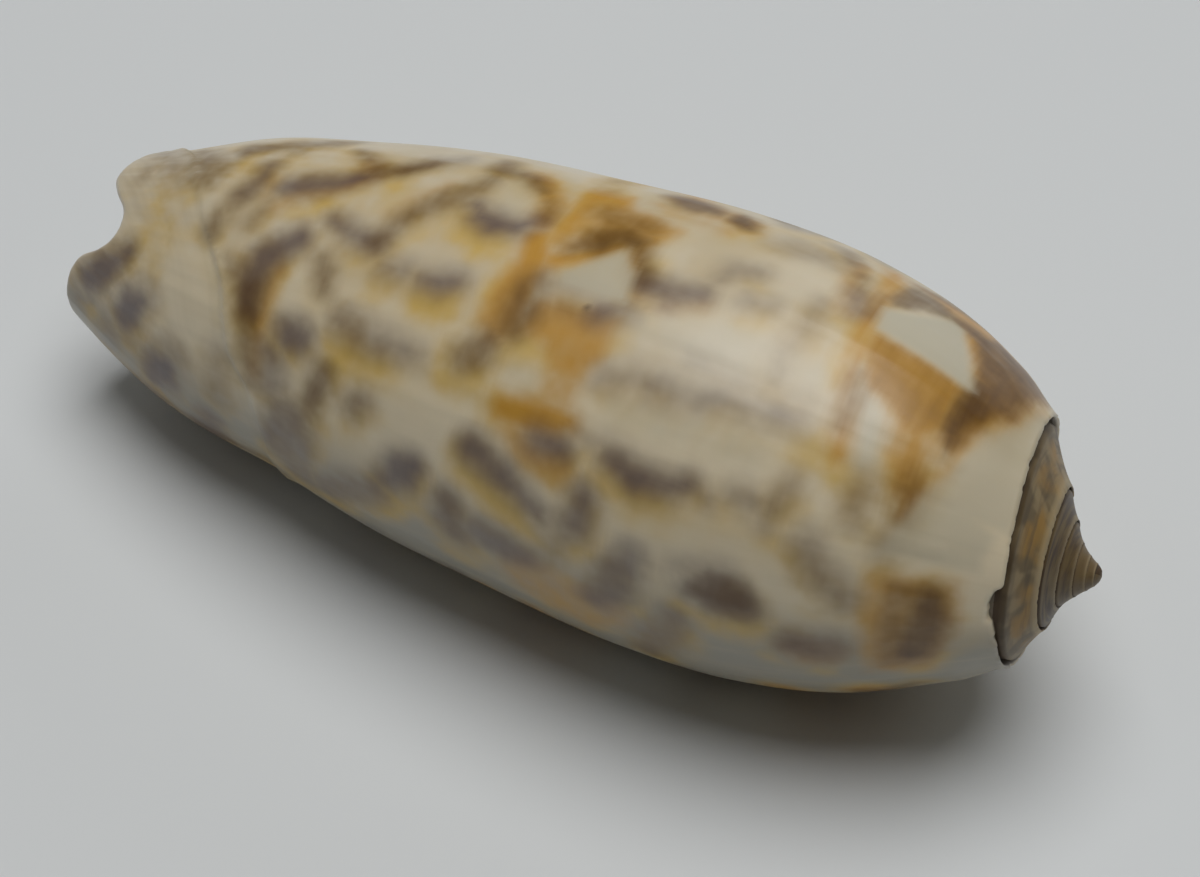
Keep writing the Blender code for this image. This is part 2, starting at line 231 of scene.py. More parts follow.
# ------------------------ the mouth
# The hollow of the last turn opens in a slit along the underside, widest at the front, where
# the siphon came out. Its wall is thin at the front edge and thick at the shoulder.
WALL = [(-3.0, 0.7), (0.0, 0.9), (6.0, 1.2), (20.0, 1.6), (40.0, 1.9), (62.0, 1.8)]
CANAL_SWELL = [(-3.0, 1.7), (0.0, 1.6), (10.0, 0.9), (20.0, 0.0), (62.0, 0.0)]
MOUTH_DEPTH = 270.0       # angle that the hollow runs in from the lip
HOLLOW_ROOT = 0.2         # share of its length that narrows to the shoulder
HOLLOW_TAPER = 3          # how late it narrows to its blind end
PILLAR_RECESS = 6.0       # how far its floor lies back from the front edge
RECESS_POWER = 6
COLUMNS = 270             # steps round one turn
BODY_ROWS = 146
CALLUS_ROWS = 8


def outer_rows():
    """x, radius and angle of the last turn's outer surface, and the place across its band."""
    angles = START + TURN * np.arange(COLUMNS + 1)[:, None] / COLUMNS
    q = np.array(CHANNEL_ROWS + BAND_ROWS)[None, :]
    band_x, band_radius = suture_band(angles, q)
    front = curve(FRONT_EDGE, angles)
    down = np.arange(1, CALLUS_ROWS + BODY_ROWS + 1) / (CALLUS_ROWS + BODY_ROWS)
    x = band_x[:, -1:] + (front - band_x[:, -1:]) * down[None, :]
    radius = outline(x, angles)
    x = np.concatenate([band_x, x], axis=1)
    radius = np.concatenate([band_radius, radius], axis=1)
    angles = angles * np.ones_like(x)
    across = np.concatenate([q, np.ones((1, len(down)))], axis=1) * np.ones_like(x)
    return x, radius + relief(x, angles) * (across == 1), angles, across


def hollow_rows(x, radius, angle):
    """The hollow behind the lip: its ceiling under the outer wall, and its floor."""
    first = len(CHANNEL_ROWS + BAND_ROWS) - 1 + CALLUS_ROWS
    steps = round(COLUMNS * MOUTH_DEPTH / TURN / 2) * 2    # even: every second one is used
    deep = np.arange(steps + 1)[:, None] / steps
    roof_x, roof_radius, roof_angle = (g[::-1][:steps + 1, first:] for g in (x, radius, angle))
    start_x, start_radius = x[:1, first:], radius[:1, first:]

    along = np.arange(start_x.shape[1])[None, :] / (start_x.shape[1] - 1)
    wall = curve(WALL, roof_x)
    root = (roof_radius[0, 0] - start_radius[0, 0] - wall[0, 0]) * (1 - ease(along / HOLLOW_ROOT))
    roof_radius = roof_radius - wall - root
    gap = (roof_radius[:1] - start_radius) * (1 - deep ** HOLLOW_TAPER)
    gap = gap + curve(CANAL_SWELL, roof_x) * np.sin(np.pi * deep) * ease(along / HOLLOW_ROOT)
    floor_radius = roof_radius - gap

    floor_x = start_x + (roof_x[-1:] - start_x) * ease(deep)
    floor_x = floor_x + PILLAR_RECESS * np.sin(np.pi * deep) ** 2 * along ** RECESS_POWER
    roof_x = roof_x + (floor_x[:, :1] - roof_x[:, :1]) * (1 - along)
    return (roof_x, roof_radius, roof_angle), (floor_x, floor_radius, roof_angle)


# ------------------------ one skin over all of it
# Spire, last turn, lip and hollow are one closed surface. Each point keeps where it lies on the
# shell, which the colours are worked out from.
SPIRE_TURNS = 5
SPIRE_BOW = 0.3           # sideways bow of the spire, from BOW_START to the tip
BOW_ANGLE = -136.0
BOW_START = 67.8
TIP_DOME = [0.85, 0.65, 0.5]  # rings that round off the tip, each a share of the one before
EDGE_STEPS = 8            # faces round the free edge
PILLAR_CENTRE = (1.4, 1.8, -165.0)  # x, radius, angle
FOOT_DOME = [0.8, 0.7, 0.5]  # rings that close the pillar, each a share of the one before
FOOT_SWELL = -0.5
ROLL = 5.9                # how it lies: turned about its axis and tipped along its length
PITCH = -4.1
FIT = 0.9995              # size beside the CAD's box, which it has to stay inside
points, faces, notes = [], [], []      # notes: x, angle, radius, across, inside


def place(x, radius, angle):
    """Shell coordinates to a point in millimetres, in the pose it rests in."""
    x, radius, angle = np.broadcast_arrays(x, radius, angle)
    bow = SPIRE_BOW * np.sin(np.pi * np.clip((x - BOW_START) / (TIP - BOW_START), 0.0, 1.0))
    a, bow_a = np.radians(angle + ROLL), math.radians(BOW_ANGLE + ROLL)
    y = radius * np.sin(a) + bow * math.sin(bow_a)
    z = radius * np.cos(a) + bow * math.cos(bow_a)
    tip = math.radians(PITCH)
    return np.stack([x * math.cos(tip) + z * math.sin(tip), y,
                     z * math.cos(tip) - x * math.sin(tip)], -1)


def add_point(position, note):
    """Stores a point and its note, and gives its number."""
    points.append(tuple(position))
    notes.append(tuple(note))
    return len(points) - 1


def add_grid(x, radius, angle, across, inside):
    """Points for a grid of shell coordinates, as nested lists of their numbers."""
    spots = place(x, radius, angle)
    grid = np.stack(np.broadcast_arrays(x, angle, radius, across, inside), -1)
    return [[add_point(p, n) for p, n in zip(*column)] for column in zip(spots, grid)]


def stitch(chain_a, chain_b):
    """Faces between two chains of points, which may differ in length or share ends."""
    a = b = 0
    while a < len(chain_a) - 1 or b < len(chain_b) - 1:
        reach_a = (a + 1) / max(len(chain_a) - 1, 1) if a < len(chain_a) - 1 else 2.0
        reach_b = (b + 1) / max(len(chain_b) - 1, 1) if b < len(chain_b) - 1 else 2.0
        corners = [chain_a[a], chain_b[b]]
        if reach_b <= reach_a + 1e-9:
            b += 1
            corners.append(chain_b[b])
        if reach_a <= reach_b + 1e-9 and a < len(chain_a) - 1:
            a += 1
            corners.append(chain_a[a])
        corners = list(dict.fromkeys(corners))
        if len(corners) > 2:
            faces.append(corners)


def stitch_grid(chains):
    """Faces between each chain of points and the next."""
    for chain_a, chain_b in zip(chains, chains[1:]):
        stitch(chain_a, chain_b)


def fan(loop, centre):
    """Faces between a closed loop of points and its centre."""
    for a, b in zip(loop, loop[1:] + loop[:1]):
        faces.append([a, b, centre])


def round_edge(outer, behind, inner):
    """Points round the free edge, from an outer point towards a place on the inner face."""
    here, back = np.array(points[outer]), np.array(points[behind])
    middle = (here + inner) / 2
    bulge = here - back
    bulge = bulge / np.linalg.norm(bulge) * np.linalg.norm(here - inner) / 2
    ring = []
    for step in range(1, EDGE_STEPS):
        turn = math.pi * step / EDGE_STEPS
        note = notes[outer][:4] + (step / EDGE_STEPS,)
        ring.append(add_point(middle + (here - middle) * math.cos(turn) + bulge * math.sin(turn),
                              note))
    return ring


def build_skin():
    """All points and faces of the shell, in shell order."""
    band = len(CHANNEL_ROWS + BAND_ROWS) - 1
    first = band + CALLUS_ROWS
    x, radius, angle, across = outer_rows()
    outer = add_grid(x, radius, angle, across, 0.0)
    lip = outer[-1]

    # Older columns: the last row of each is the first row of the column a turn later.
    older = START - TURN * np.arange(1, SPIRE_TURNS * COLUMNS + 1)[::-1, None] / COLUMNS
    q = np.array((CHANNEL_ROWS + BAND_ROWS)[:-1])[None, :]
    spire_x, spire_radius = suture_band(older, q)
    spire = add_grid(spire_x, spire_radius, older * np.ones_like(spire_x), q, 0.0)
    columns = spire + outer
    outer[0][band] = lip[0]
    for at in range(len(spire)):
        spire[at].append(columns[at + COLUMNS][0])
    stitch_grid([column[:band + 1] for column in columns[:len(spire) + 1]])
    stitch_grid(outer)
    loop = [column[0] for column in columns[:COLUMNS + 1]] + columns[0][1:band][::-1]
    tip = add_point(place(TIP, 0.0, 0.0), (TIP, older[0, 0], 0.0, 0.5, 0.0))
    for share in TIP_DOME:
        inner = [add_point(place(notes[at][0] + (TIP - notes[at][0]) * (1 - share ** 2),
                                 notes[at][2] * share, notes[at][1]), notes[at]) for at in loop]
        stitch_grid([loop + loop[:1], inner + inner[:1]])
        loop = inner
    fan(loop, tip)

    # The hollow has every second row and column. It starts at the inner wall and ends blind.
    roof_at, floor_at = hollow_rows(x, radius, angle)
    inner_edge = place(*roof_at)
    floor = add_grid(*(part[::2, ::2] for part in floor_at), 1.0, 1.0)
    roof = add_grid(*(part[::2, ::2] for part in roof_at), 1.0, 1.0)
    roof[-1] = floor[-1]
    for roof_column, floor_column in zip(roof, floor):
        roof_column[0] = floor_column[0]
    start_wall = outer[0][first:]
    roof[0][0] = start_wall[0]
    floor[0] = start_wall
    stitch_grid(roof)
    stitch_grid(floor)

    # The free edge: along the lip, round its front corner and along the front edge.
    lip_rings = [round_edge(lip[row], outer[-2][row], inner_edge[0, row - first])
                 for row in range(first + 1, len(lip) - 1)]
    corner = round_edge(lip[-1], outer[-2][-2], inner_edge[0, -1])
    front_rings = [round_edge(outer[-1 - at][-1], outer[-1 - at][-2], inner_edge[at, -1])
                   for at in range(1, len(inner_edge))]
    root = round_edge(lip[first], outer[-2][first], np.array(points[start_wall[0]]))
    lip_chains = list(zip(*([root] + lip_rings + [corner])))
    front_chains = list(zip(*([corner] + front_rings)))
    stitch_grid([lip[first:]] + lip_chains + [roof[0]])
    stitch_grid([[column[-1] for column in outer[::-1][:len(inner_edge)]]] + front_chains
                + [[column[-1] for column in roof]])

    # The callus that glues the end of the lip to the turn before, up to the suture.
    pillar_wall = outer[0][band:first + 1]
    rings = []
    for row in range(1, first):
        down = CALLUS_ROWS * row / first
        low, high = (np.array(points[pillar_wall[int(down) + k]]) for k in (0, 1))
        rings.append(round_edge(lip[row], outer[-2][row], low + (high - low) * (down % 1)))
    chains = [[lip[0]] + list(chain) for chain in zip(*(rings + [root]))]
    stitch_grid([lip[:first + 1]] + chains + [pillar_wall])

    # The foot of the pillar, closed between the front edge, its rounding and the hollow.
    foot = [column[-1] for column in outer[:len(outer) - len(inner_edge) + 1]]
    loop = foot + front_rings[-1] + [column[-1] for column in floor[::-1]][:-1]
    end = (PILLAR_CENTRE[0], PILLAR_CENTRE[2], PILLAR_CENTRE[1], 1.0, 1.0)
    middle = place(*PILLAR_CENTRE)
    for share in FOOT_DOME:
        ring = [np.array(points[at]) * share + middle * (1 - share) for at in loop]
        inner = [add_point(spot + (FOOT_SWELL * (1 - share), 0, 0), end) for spot in ring]
        stitch_grid([loop + loop[:1], inner + inner[:1]])
        loop = inner
    fan(loop, add_point(middle + (FOOT_SWELL, 0, 0), end))


build_skin()
corners = np.array(points)
low, high = np.array(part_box("shell"))
top, bottom = corners.max(axis=0), corners.min(axis=0)
shrink = FIT * (high - low) / (top - bottom)
origin = (low + high) / 2 - (top + bottom) / 2 * shrink
origin[2] = low[2] - bottom[2] * shrink[2]
corners = corners * shrink + origin

shell_mesh = bpy.data.meshes.new("olive_shell")
shell_mesh.from_pydata(corners.tolist(), [], faces)
tidy = bmesh.new()
tidy.from_mesh(shell_mesh)
bmesh.ops.triangulate(tidy, faces=tidy.faces)
# Two faces on the same three points are a fold without thickness: both go.
twins = {}
for face in tidy.faces:
    twins.setdefault(frozenset(v.index for v in face.verts), []).append(face)
folds = [face for pair in twins.values() if len(pair) > 1 for face in pair]
bmesh.ops.delete(tidy, geom=folds, context="FACES_ONLY")
loose = [v for v in tidy.verts if not v.link_faces]
used = np.array([bool(v.link_faces) for v in tidy.verts])
bmesh.ops.delete(tidy, geom=loose, context="VERTS")
bmesh.ops.recalc_face_normals(tidy, faces=tidy.faces)
if tidy.calc_volume(signed=True) < 0:
    bmesh.ops.reverse_faces(tidy, faces=tidy.faces)
tidy.to_mesh(shell_mesh)
tidy.free()
shell_mesh.shade_smooth()
x_at, angle_at, radius_at, across_at, inside_at = np.array(notes)[used].T
wall_side = (across_at < 0).astype(float)
across_at = np.abs(across_at)


# ------------------------ the pattern
# The colour is laid into the shell as it grows: a cream ground with ochre stains, amber and
# umber patches, violet-grey clouds and pale tents. A dark stroke along the lower front edge is
# painted shade, and two pale streaks on the near side are painted highlight. A stroke is a
# strength and a path of (x, angle, half width); a tent is a strength and its corners.
VIOLET = [
    (0.5, [(2.1, 0, 0.2), (2.2, -10, 0.3)]),
    (0.7, [(11.8, -2, 0.7), (11.9, -9, 1.0), (11.6, -16, 0.8)]),
    (0.5, [(13.9, -14, 0.7), (13.2, -28, 0.6)]),
    (0.5, [(8.9, 12, 0.6), (8.9, 4, 0.6)]),
    (0.95, [(14.2, -11, 0.9), (15.6, -8.8, 1.1), (17.6, -5.5, 0.9), (19.2, -1, 0.6)]),
    (0.6, [(21.4, 7, 0.6), (22.6, 13, 0.9), (24, 18, 0.7)]),
    (1.0, [(27.9, -4, 0.5), (28.6, -7.5, 0.9), (29.8, -8.8, 1.0), (31.2, -8, 0.9), (32, -4.5, 0.5)]),
    (0.85, [(19, -20.5, 0.6), (20.8, -23.5, 0.8), (22.8, -25, 0.8)]),
    (0.65, [(24.3, -30.5, 0.7), (25.8, -30.5, 0.7)]),
    (0.95, [(27.3, -31, 0.6), (28.5, -30.5, 0.8), (29.5, -29, 0.6)]),
    (1.0, [(17.3, -29, 0.9), (16.4, -33, 1.1), (15.4, -39, 1.2), (15.0, -46, 1.2), (15.2, -54, 0.9)]),
    (0.95, [(18.9, -58, 1.1), (20, -58, 1.1)]),
    (0.7, [(22.8, -49.5, 0.9), (25, -51, 1.2), (27.3, -50.5, 0.8), (28.8, -51, 0.6)]),
    (0.6, [(25.8, -68, 0.7), (25, -71, 0.8)]),
    (0.75, [(18, -67, 1.1), (18.4, -75, 1.4)]),
    (0.95, [(43.8, -59, 0.8), (45.8, -61, 1.1), (47.6, -60.5, 1.0), (49, -58, 0.6)]),
    (0.45, [(41, -55, 0.5), (44, -57, 0.7), (50.5, -60, 0.6)]),
    (0.65, [(51.9, -57, 0.7), (52.8, -58, 0.7)]),
    (0.6, [(55.1, -50, 0.6), (54.4, -55, 0.6), (54.0, -61, 0.5)]),
    (0.8, [(39.6, -25.5, 0.7), (41, -22.5, 0.8)]),
    (0.5, [(35.8, -21.5, 0.4), (39.5, -22, 0.4)]),
    (0.9, [(41.4, -14.5, 0.8), (43, -14.5, 1.0), (45, -12, 0.7)]),
    (0.5, [(45.3, -8, 0.5), (45.8, -1, 0.7), (47.2, 1, 0.7)]),
    (0.4, [(47.8, -9, 0.7), (49.3, -8, 0.6)]),
    (0.55, [(41.4, -41, 0.6), (43.5, -38.5, 0.9), (46.6, -38, 0.9), (50, -36, 0.8), (54, -34, 0.6)]),
    (0.3, [(46.5, -30, 0.5), (50, -31, 0.5), (54, -29, 0.4)]),
    (0.45, [(51.9, 0, 0.4), (51.8, -10, 0.6), (51.4, -20, 0.5), (51.8, -27, 0.4)]),
    (0.6, [(53.3, 7, 0.7), (53.6, 3, 0.7)]),
    (0.5, [(59.2, -44, 0.8), (59, -52, 0.9)]),
    (0.45, [(61.6, -44, 0.7), (61.3, -60, 0.7)]),
    (0.6, [(56.8, -64, 0.9), (57.6, -70, 1.0), (59.2, -78, 0.9)]),
    (1.05, [(3.8, -54, 0.6), (2.7, -63, 1.0), (1.6, -72, 1.3), (0.5, -82, 1.2)]),
    (0.5, [(0, -90, 1.2), (-0.6, -100, 0.8)]),
    (1.05, [(6.0, -73, 0.8), (5.0, -80, 1.4), (4.4, -87, 1.1)]),
    (0.5, [(6.2, -70, 1.4), (4.4, -88, 2.0)]),
    (0.5, [(3.6, -94, 1.3), (2.6, -108, 1.0)]),
    (1.05, [(9.0, -93, 0.8), (8.3, -99, 1.5), (7.6, -105, 1.2)]),
    (0.5, [(9.5, -88, 1.5), (7.8, -106, 2.1)]),
    (0.5, [(7, -112, 1.3), (6.4, -126, 1.0)]),
    (0.4, [(1.4, 22, 0.9), (3, 8, 1.2), (4.2, -4, 1.0), (5.6, -13, 0.7)]),
    (0.9, [(12.6, -108, 1.0), (11.8, -120, 1.5), (11, -134, 1.2)]),
    (0.4, [(13.6, -76, 0.9), (13.6, -94, 1.1)]),
    (0.75, [(20, -86, 2.0), (19.6, -98, 2.3), (20.4, -108, 1.6)]),
    (1.0, [(30, -81, 1.0), (29.1, -84.5, 1.4), (28.2, -89, 1.0)]),
    (0.8, [(27.2, -95, 1.0), (25, -101, 1.4), (22.6, -107, 1.2)]),
    (0.7, [(32.8, -88, 1.3), (33.4, -96, 1.7)]),
    (0.85, [(35, -93, 1.1), (37.2, -94.5, 1.3), (39, -95, 0.8)]),
    (0.9, [(34.4, -69, 1.1), (35.6, -71, 1.1), (37.8, -75, 0.9), (39.4, -79, 0.7)]),
    (0.85, [(42.6, -70, 1.0), (42.2, -78, 1.1)]),
    (0.85, [(38.6, -60, 0.9), (40.2, -60, 0.9)]),
    (0.8, [(50.4, -85, 1.0), (52.0, -84.5, 1.8), (53.8, -87, 1.0)]),
    (0.5, [(49, -81, 0.6), (52, -78, 0.8)]),
    (0.9, [(46.2, -82, 1.0), (45.2, -91, 1.5), (43.8, -100, 1.1)]),
    (0.7, [(49.2, -98, 1.1), (48, -109, 1.3), (46.6, -120, 1.0)]),
    (0.7, [(57, -98, 1.2), (58.6, -98, 1.4)]),
    (0.6, [(46, 34, 0.8), (48, 44, 1.0), (47, 56, 0.8)]),
    (0.6, [(52, 40, 0.8), (50, 52, 0.9)]),
    (0.5, [(50, 30, 0.7), (51.4, 22, 0.6)]),
    (0.3, [(47.6, 17, 1.4), (51.2, 20, 1.2)]),
    (0.25, [(65.8, 20, 1.0), (65.0, -8, 0.7)]),
]
UMBER = [
    (0.60, [(4.5, 17, 0.4), (5.8, 8, 0.8), (6.8, -1, 1.2), (7.8, -8, 1.5), (8.2, -13, 0.8)]),
    (0.6, [(9, 8, 0.8), (11.6, 15, 1.1), (14, 22, 1.2), (15, 27, 0.9)]),
    (0.48, [(12.4, 18, 0.6), (12.6, 11, 0.8)]),
    (0.64, [(16.8, 16, 0.5), (18.2, 9, 0.7), (19.8, 3, 1.0), (21, 4, 0.7), (22.6, 11, 0.5)]),
    (0.64, [(10.4, -28, 0.7), (10.5, -34, 0.8)]),
    (0.40, [(11.6, -18, 1.0), (10.8, -28, 0.9)]),
    (0.6, [(15.2, -48, 1.0), (15.3, -58, 1.0), (15.9, -68, 0.9), (16.5, -78, 0.7)]),
    (0.6, [(12.6, -42, 0.5), (13.2, -45, 0.5)]),
    (0.68, [(19.7, -33.5, 0.7), (20.2, -37, 0.9), (20.7, -41, 0.7)]),
    (0.62, [(27.3, 12, 0.5), (26.9, 3, 0.9), (26.2, -2, 1.2), (24.9, -9, 1.1), (23.6, -16, 1.0),
           (22.9, -25, 0.7)]),
    (0.64, [(26.8, 22, 0.8), (27.2, 16, 1.1), (29.4, 15, 0.8), (31, 9, 0.5)]),
    (0.56, [(32, 5, 0.4), (32.5, 1, 0.6), (32.8, -3, 0.3)]),
    (0.75, [(22.4, -65, 0.9), (22.2, -70, 1.1), (21.9, -76, 0.9)]),
    (0.76, [(35.6, -9, 0.7), (36.8, -5, 1.4), (38.2, -1, 1.1), (39.4, -3, 0.9), (40.4, -9, 0.6),
            (41.3, -15, 0.6)]),
    (0.45, [(35.8, 6, 1.0), (37.4, 4, 1.4), (39, 5, 1.0)]),
    (0.62, [(34.5, -23, 1.1), (34.6, -30, 1.6), (34.3, -36, 1.2)]),
    (0.40, [(36.5, -27.5, 0.4), (39.5, -27.5, 0.4)]),
    (0.75, [(33.3, -41, 1.0), (32.8, -44.5, 1.3), (32, -47, 1.1)]),
    (0.40, [(41.6, -17, 0.5), (44, -15.5, 0.5)]),
    (0.6, [(52.8, 18, 0.4), (53.1, 11, 0.5)]),
    (0.55, [(54.5, 14, 0.35), (54.8, 5, 0.35)]),
    (0.4, [(51, 30, 0.4), (51.6, 24, 0.4)]),
    (0.4, [(56.6, -97, 0.8), (58.2, -98, 0.9)]),
    (0.64, [(56.1, -15, 0.5), (56.3, -22, 0.7), (56.4, -31, 0.4)]),
    (0.72, [(57.6, 26, 0.9), (60, 29, 1.1), (62.4, 29, 0.9)]),
    (0.64, [(56, 34, 1.0), (58, 44, 1.2), (60, 56, 1.0)]),
    (1.0, [(62.4, 6, 0.8), (62.6, -6, 1.1), (62.3, -17, 0.7)]),
    (0.9, [(64.2, -75, 1.0), (64.2, -87, 1.4), (63.6, -100, 1.2)]),
    (0.40, [(57.2, -4, 0.3), (57.5, -16, 0.4)]),
    (0.40, [(59.4, -3, 0.3), (59.8, -18, 0.3)]),
    (0.48, [(61.4, -36, 0.9), (61.5, -48, 0.6)]),
    (0.32, [(40.6, -80, 1.0), (40.8, -90, 1.0)]),
    (0.75, [(50.8, -85, 0.9), (53, -85, 1.4)]),
    (0.4, [(32.8, -89, 0.9), (33.2, -94, 1.1)]),
    (0.25, [(33.8, 34, 0.8), (34.4, 20, 0.9)]),
    # Painted shade: a dark line along the lower front edge, where the shell meets its shadow.
    (0.6, [(1.5, -123, 0.4), (6, -122, 0.5), (12, -121, 0.6), (18, -120, 0.5)]),
    (0.85, [(38.6, 27, 0.9), (40.2, 24, 1.6), (41.4, 23, 0.9)]),
    (0.9, [(43.4, 27, 0.5), (43.6, 22.5, 1.0), (44.2, 19.5, 0.6)]),
    (0.7, [(43, 50, 0.8), (45, 40, 1.1)]),
]
UMBER_TENTS = [
    (0.85, [(60.3, 24), (60.5, 44), (65.2, 48), (65.0, 28), (64.8, 5), (63.6, -9), (62.6, -26),
            (61.8, -20), (61.5, -5), (62.2, 3)]),
    (0.7, [(55.2, 32), (57.6, 32), (58.9, 25), (56.5, 16), (55.3, 11), (54.9, 16)]),
    (0.5, [(61.8, -70.5), (65.3, -69), (65.7, -84), (64.4, -109), (61.6, -109)]),
    (0.3, [(55.8, -1), (62, 0), (62, -18), (60.5, -24), (58.5, -20), (56.4, -16)]),
]
AMBER = [
    (0.3, [(13, -8, 0.4), (13.1, -14, 0.5)]),
    (0.6, [(18.4, 7, 0.6), (19.6, 0, 0.6), (17.6, -9, 0.5), (15.6, -13, 0.6), (14.4, -19, 0.5)]),
    (0.55, [(16.9, -41, 0.5), (16.6, -52, 0.8), (16.8, -64, 0.5), (16.8, -76, 0.4)]),
    (0.3, [(25, 2, 0.5), (24, -5, 0.5), (22.8, -14, 0.5)]),
    (0.7, [(29.6, 18, 0.6), (31.2, 11, 0.7), (32.4, 4, 0.9), (32.6, -4, 0.9)]),
    (1.0, [(32.9, -10, 0.9), (33.6, -16, 1.2), (33.6, -25, 0.9)]),
    (0.8, [(34.6, 15, 1.0), (34.8, 0, 1.1), (34.3, -8, 0.8)]),
    (0.9, [(33.5, -24, 1.2), (33.4, -35, 1.3)]),
    (1.0, [(34.9, -15, 0.7), (36.8, -10.5, 0.6), (38.2, -5, 0.4)]),
    (0.8, [(39.7, 4, 0.8), (40.6, 6, 0.5), (39.6, -4, 0.5), (39.9, -12, 0.4)]),
    (0.6, [(38.8, -42, 1.3), (39.2, -50, 1.4)]),
    (1.0, [(35.7, -55.8, 0.9), (37.4, -55.4, 1.15), (39.4, -54, 1.15), (40.3, -53.4, 0.7)]),
    (0.65, [(36.6, -60, 0.9), (38.4, -65, 0.9), (40.4, -66, 1.0)]),
    (0.6, [(52, 24, 0.5), (52.6, 12, 0.6), (53.2, 2, 0.7)]),
    (0.9, [(53.4, 34, 0.6), (54.3, 22, 0.6), (54.7, 8, 0.5), (55.1, -4, 0.5), (55.7, -14, 0.5),
           (56.2, -26, 0.5), (57, -38, 0.6)]),
    (0.9, [(60.0, -18, 1.2), (60.7, -30, 1.3), (61.4, -40, 0.9), (61.6, -48, 0.4)]),
    (0.8, [(61.7, -10, 0.8), (61.7, -26, 0.9)]),
    (0.7, [(65.3, 24, 0.3), (65, 4, 0.35), (63.9, -10, 0.35), (63, -26, 0.35), (62.4, -40, 0.4)]),
    (0.5, [(61.4, -71, 0.6), (61.3, -84, 0.8), (61.9, -104, 0.8)]),
    (0.5, [(57.4, -100, 1.4), (58.4, -100, 1.4)]),
    (0.55, [(39, -102, 2.2), (42, -106, 2.6), (44.5, -104, 1.6)]),
    (0.6, [(39.4, 27, 1.6), (40.8, 22, 1.6), (43.8, 22, 1.3)]),
    (0.4, [(38.4, 17, 0.6), (40.2, 14, 0.5), (43.6, 14, 0.6), (45, 18, 0.4)]),
    (0.5, [(40.9, -18, 0.4), (43, -18.5, 0.5), (45.4, -14.5, 0.5)]),
]
AMBER_TENTS = [
    (0.85, [(35.2, -26), (41, -25.5), (41, -36), (40.2, -44), (38, -44), (36.6, -37), (35, -36)]),
    (1.0, [(55.2, -0.5), (62, 0.5), (62, -20), (60.5, -28), (58.5, -21), (56.2, -16)]),
    (0.75, [(33.6, 18), (36.4, 18), (37.2, 12), (40.8, 8), (39.8, -2), (38.2, -3.5), (36.5, -10),
            (34.8, -14), (33.6, -4), (33.8, 10)]),
    (1.0, [(55, 34), (60, 46), (65.2, 46), (65.0, 5), (63.8, -9), (62.8, -26), (61.8, -20),
           (62.2, 3), (59, 26)]),
    (0.7, [(60.8, -69), (65.6, -67), (66.0, -84), (64.6, -112), (61.2, -112), (60.5, -84)]),
]
OCHRE = [
    (0.6, [(10, 4, 0.6), (9.9, -6, 0.6)]),
    (0.55, [(5, -14, 0.9), (5.4, -28, 1.6), (5.8, -44, 1.8), (6.4, -56, 1.0)]),
    (0.8, [(9.8, 4, 0.7), (10, -7, 0.7), (13, -9, 0.6)]),
    (0.8, [(27.4, -34.5, 0.8), (29, -35, 0.9)]),
    (0.5, [(24, -30, 0.6), (21, -29, 0.6)]),
    (1.0, [(23.8, -56.5, 1.1), (26.2, -57.5, 1.0)]),
    (0.4, [(28, -13, 0.4), (29.5, -14.5, 0.6), (32, -12, 0.5)]),
    (1.0, [(34.8, -39.5, 1.1), (37.4, -40, 1.2)]),
    (0.9, [(33.8, 38, 0.9), (34.4, 24, 1.3), (34.6, 15, 1.2)]),
    (0.75, [(31.3, -52.5, 0.9), (33.3, -53, 0.9)]),
    (1.0, [(44.8, -65.5, 1.0), (47.4, -65, 1.2)]),
    (0.8, [(35.2, -77, 1.1), (38, -83, 1.3)]),
    (0.6, [(28.4, -96, 1.0), (30.2, -89, 0.9)]),
    (0.8, [(55.8, -41, 1.3), (58.5, -41, 0.9)]),
    (0.5, [(18.5, -81, 0.9), (21.4, -80, 0.9)]),
    (0.3, [(12, 4, 1.8), (17, -3, 1.6), (21, -9, 1.8), (25, -16, 1.2)]),
    (0.4, [(13, -20, 1.2), (18, -16, 1.4), (20, -28, 1.0)]),
]
PALE = [
    (0.5, [(3.9, 15, 0.5), (6, -3, 0.5), (8.1, -18, 0.5), (10.8, -38, 0.5), (12.6, -51, 0.5),
           (14.2, -68, 0.5), (16, -81, 0.5), (17.3, -97, 0.5)]),
    (0.9, [(57.6, -19, 0.4), (57.9, -26, 0.7), (58.3, -36, 1.0)]),
    (0.5, [(35.6, -47, 0.8), (36.8, -47, 0.8)]),
    (0.5, [(37.4, 25, 1.0), (38.2, 16, 0.8)]),
    (0.4, [(29.2, 7, 1.2), (30.2, 0, 1.4)]),
    # Painted highlight: the next two pale streaks lie where the gloss catches the light on the near
    # side.
    (0.5, [(43, -24, 1.2), (50, -22, 1.6), (53.6, -22, 1.0)]),
    (0.5, [(43, -47, 1.0), (52, -45, 1.2)]),
]
PALE_TENTS = [
    (0.8, [(38.8, -6), (35.8, -17.5), (36.2, -21), (40.8, -21), (40.2, -12)]),
    (1.0, [(55.1, 9.5), (56.4, 12.5), (58.6, 24), (59.4, 24), (62.1, 2), (61.7, 0.4), (55.5, 0.4)]),
    (0.6, [(61.8, -48), (62.9, -30), (66.8, -45), (66.5, -61), (60.8, -62)]),
    (0.6, [(65.6, 24), (65.3, 4), (64.1, -10), (63.2, -28), (62.7, -42), (67.5, -42), (67.5, 24)]),
]
SPECK = [(1.0, [(38.45, -25.6, 0.12), (38.6, -25.5, 0.14)])]

